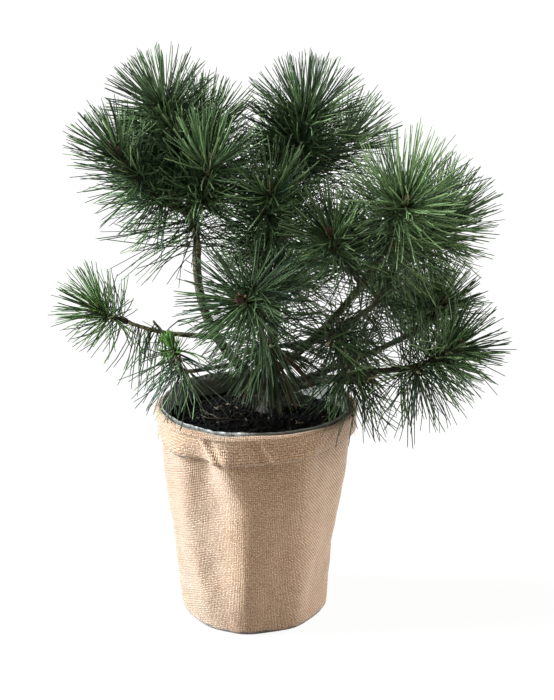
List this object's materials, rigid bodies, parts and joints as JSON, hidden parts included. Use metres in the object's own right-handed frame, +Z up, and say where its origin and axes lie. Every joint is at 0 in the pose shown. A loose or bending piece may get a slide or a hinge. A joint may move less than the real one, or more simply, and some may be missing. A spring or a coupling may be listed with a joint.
{
  "type": "potted mugo pine",
  "caption": "Young mountain pine with an open crown of long needles, standing in a jute-wrapped round pot.",
  "frame": {"origin": "middle of the pot's flat underside, where it stands", "axes": "+Z up; the fuller side of the crown with the two low boughs points to +X; the side most often shown faces -Y"},
  "size_m": [0.3936, 0.3231, 0.5094],
  "materials": {
    "jute": "coarse woven jute",
    "liner": "thin grey plastic",
    "soil": "damp peat and bark",
    "bark": "rough scaly bark",
    "needles": "dark green, faintly glossy"
  },
  "bodies": {
    "root": {"back_bough": "bark", "back_foliage": "needles", "back_right_bough": "bark", "back_right_foliage": "needles", "centre_right_foliage": "needles", "front_bough": "bark", "front_foliage": "needles", "front_hanging_foliage": "needles", "inner_foliage": "needles", "jute_sleeve": "jute", "left_leader": "bark", "left_sprout_foliage": "needles", "left_twig": "bark", "low_back_bough": "bark", "low_back_foliage": "needles", "low_front_bough": "bark", "low_front_foliage": "needles", "low_hanging_foliage": "needles", "low_left_bough": "bark", "low_left_foliage": "needles", "low_middle_foliage": "needles", "middle_foliage": "needles", "pot_liner": "liner", "right_bough": "bark", "right_foliage": "needles", "soil": "soil", "trunk": "bark", "under_right_foliage": "needles", "upper_left_foliage": "needles", "upper_middle_foliage": "needles"}
  },
  "joints": []
}
